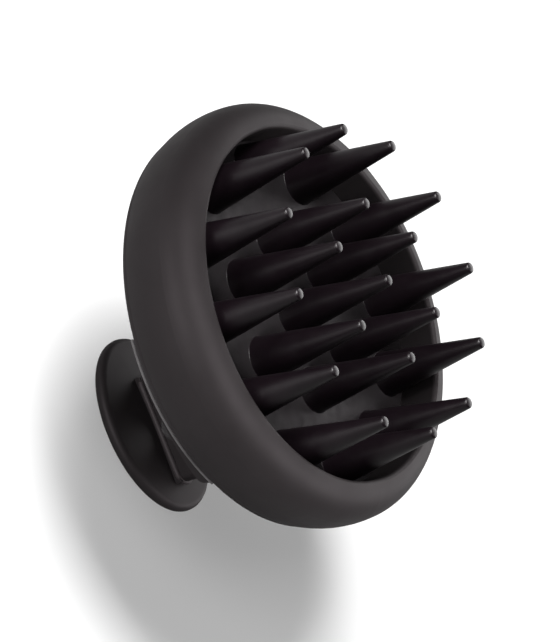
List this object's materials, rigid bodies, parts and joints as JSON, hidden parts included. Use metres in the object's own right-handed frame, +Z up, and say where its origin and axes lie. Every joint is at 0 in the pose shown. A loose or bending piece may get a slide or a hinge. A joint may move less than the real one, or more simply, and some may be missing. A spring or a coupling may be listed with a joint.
{
  "type": "scalp massager brush",
  "caption": "Round hand brush with long soft blunt bristles inside a rolled rim, on a narrow neck with an oval palm plate and a hanging hole.",
  "frame": {"origin": "middle of the palm plate's flat outer face, which the brush stands on", "axes": "+Z up, square to the palm plate, with the bristles on top; +X along the plate's long axis, the way the head's axis leans"},
  "size_m": [0.0795, 0.08, 0.067],
  "materials": {
    "shell_plastic": "satin dark grey, slightly warm",
    "bristle_silicone": "smooth near-black silicone, soft sheen",
    "pad_silicone": "matte dark grey silicone",
    "inner_plastic": "plain moulded",
    "gasket_rubber": "matte",
    "screw_steel": "plain stainless"
  },
  "bodies": {
    "brush_body": {"housing": "shell_plastic", "bristle_pad": "pad_silicone", "backing_plate": "inner_plastic", "cover_gasket": "gasket_rubber", "rear_cover": "shell_plastic", "cover_screws": "screw_steel", "neck_screws": "screw_steel", "handle_neck": "shell_plastic", "palm_plate": "shell_plastic", "palm_screws": "screw_steel"},
    "bristle_center": {"bristle_center": "bristle_silicone"},
    "bristle_inner_01": {"bristle_inner_01": "bristle_silicone"},
    "bristle_inner_02": {"bristle_inner_02": "bristle_silicone"},
    "bristle_inner_03": {"bristle_inner_03": "bristle_silicone"},
    "bristle_inner_04": {"bristle_inner_04": "bristle_silicone"},
    "bristle_inner_05": {"bristle_inner_05": "bristle_silicone"},
    "bristle_inner_06": {"bristle_inner_06": "bristle_silicone"},
    "bristle_outer_01": {"bristle_outer_01": "bristle_silicone"},
    "bristle_outer_02": {"bristle_outer_02": "bristle_silicone"},
    "bristle_outer_03": {"bristle_outer_03": "bristle_silicone"},
    "bristle_outer_04": {"bristle_outer_04": "bristle_silicone"},
    "bristle_outer_05": {"bristle_outer_05": "bristle_silicone"},
    "bristle_outer_06": {"bristle_outer_06": "bristle_silicone"},
    "bristle_outer_07": {"bristle_outer_07": "bristle_silicone"},
    "bristle_outer_08": {"bristle_outer_08": "bristle_silicone"},
    "bristle_outer_09": {"bristle_outer_09": "bristle_silicone"},
    "bristle_outer_10": {"bristle_outer_10": "bristle_silicone"},
    "bristle_outer_11": {"bristle_outer_11": "bristle_silicone"},
    "bristle_outer_12": {"bristle_outer_12": "bristle_silicone"}
  },
  "joints": [
    {"name": "bend_center", "type": "hinge", "parent": "brush_body", "child": "bristle_center", "pos_m": [-0.00543, 0, 0.04281], "axis": [0, 1, 0], "range_deg": [-12, 12], "stiffness_Nm_per_rad": 0.024},
    {"name": "bend_inner_01", "type": "hinge", "parent": "brush_body", "child": "bristle_inner_01", "pos_m": [0.0089, 0, 0.04089], "axis": [0, 1, 0], "range_deg": [-12, 12], "stiffness_Nm_per_rad": 0.024},
    {"name": "bend_inner_02", "type": "hinge", "parent": "brush_body", "child": "bristle_inner_02", "pos_m": [0.00173, 0.01251, 0.04185], "axis": [-0.8584, 0.5, 0.1145], "range_deg": [-12, 12], "stiffness_Nm_per_rad": 0.024},
    {"name": "bend_inner_03", "type": "hinge", "parent": "brush_body", "child": "bristle_inner_03", "pos_m": [-0.01259, 0.01251, 0.04376], "axis": [-0.8584, -0.5, 0.1145], "range_deg": [-12, 12], "stiffness_Nm_per_rad": 0.024},
    {"name": "bend_inner_04", "type": "hinge", "parent": "brush_body", "child": "bristle_inner_04", "pos_m": [-0.01975, 0, 0.04472], "axis": [0, -1, 0], "range_deg": [-12, 12], "stiffness_Nm_per_rad": 0.024},
    {"name": "bend_inner_05", "type": "hinge", "parent": "brush_body", "child": "bristle_inner_05", "pos_m": [-0.01259, -0.01251, 0.04376], "axis": [0.8584, -0.5, -0.1145], "range_deg": [-12, 12], "stiffness_Nm_per_rad": 0.024},
    {"name": "bend_inner_06", "type": "hinge", "parent": "brush_body", "child": "bristle_inner_06", "pos_m": [0.00173, -0.01251, 0.04185], "axis": [0.8584, 0.5, -0.1145], "range_deg": [-12, 12], "stiffness_Nm_per_rad": 0.024},
    {"name": "bend_outer_01", "type": "hinge", "parent": "brush_body", "child": "bristle_outer_01", "pos_m": [0.02277, 0, 0.03904], "axis": [0, 1, 0], "range_deg": [-12, 12], "stiffness_Nm_per_rad": 0.024},
    {"name": "bend_outer_02", "type": "hinge", "parent": "brush_body", "child": "bristle_outer_02", "pos_m": [0.019, 0.01422, 0.03955], "axis": [-0.4956, 0.866, 0.0661], "range_deg": [-12, 12], "stiffness_Nm_per_rad": 0.024},
    {"name": "bend_outer_03", "type": "hinge", "parent": "brush_body", "child": "bristle_outer_03", "pos_m": [0.00867, 0.02464, 0.04092], "axis": [-0.8584, 0.5, 0.1145], "range_deg": [-12, 12], "stiffness_Nm_per_rad": 0.024},
    {"name": "bend_outer_04", "type": "hinge", "parent": "brush_body", "child": "bristle_outer_04", "pos_m": [-0.00543, 0.02845, 0.04281], "axis": [-0.9912, 0, 0.1323], "range_deg": [-12, 12], "stiffness_Nm_per_rad": 0.024},
    {"name": "bend_outer_05", "type": "hinge", "parent": "brush_body", "child": "bristle_outer_05", "pos_m": [-0.01953, 0.02464, 0.04469], "axis": [-0.8584, -0.5, 0.1145], "range_deg": [-12, 12], "stiffness_Nm_per_rad": 0.024},
    {"name": "bend_outer_06", "type": "hinge", "parent": "brush_body", "child": "bristle_outer_06", "pos_m": [-0.02985, 0.01422, 0.04606], "axis": [-0.4956, -0.866, 0.0661], "range_deg": [-12, 12], "stiffness_Nm_per_rad": 0.024},
    {"name": "bend_outer_07", "type": "hinge", "parent": "brush_body", "child": "bristle_outer_07", "pos_m": [-0.03363, 0, 0.04657], "axis": [0, -1, 0], "range_deg": [-12, 12], "stiffness_Nm_per_rad": 0.024},
    {"name": "bend_outer_08", "type": "hinge", "parent": "brush_body", "child": "bristle_outer_08", "pos_m": [-0.02985, -0.01422, 0.04606], "axis": [0.4956, -0.866, -0.0661], "range_deg": [-12, 12], "stiffness_Nm_per_rad": 0.024},
    {"name": "bend_outer_09", "type": "hinge", "parent": "brush_body", "child": "bristle_outer_09", "pos_m": [-0.01953, -0.02464, 0.04469], "axis": [0.8584, -0.5, -0.1145], "range_deg": [-12, 12], "stiffness_Nm_per_rad": 0.024},
    {"name": "bend_outer_10", "type": "hinge", "parent": "brush_body", "child": "bristle_outer_10", "pos_m": [-0.00543, -0.02845, 0.04281], "axis": [0.9912, 0, -0.1323], "range_deg": [-12, 12], "stiffness_Nm_per_rad": 0.024},
    {"name": "bend_outer_11", "type": "hinge", "parent": "brush_body", "child": "bristle_outer_11", "pos_m": [0.00867, -0.02464, 0.04092], "axis": [0.8584, 0.5, -0.1145], "range_deg": [-12, 12], "stiffness_Nm_per_rad": 0.024},
    {"name": "bend_outer_12", "type": "hinge", "parent": "brush_body", "child": "bristle_outer_12", "pos_m": [0.019, -0.01422, 0.03955], "axis": [0.4956, 0.866, -0.0661], "range_deg": [-12, 12], "stiffness_Nm_per_rad": 0.024}
  ]
}
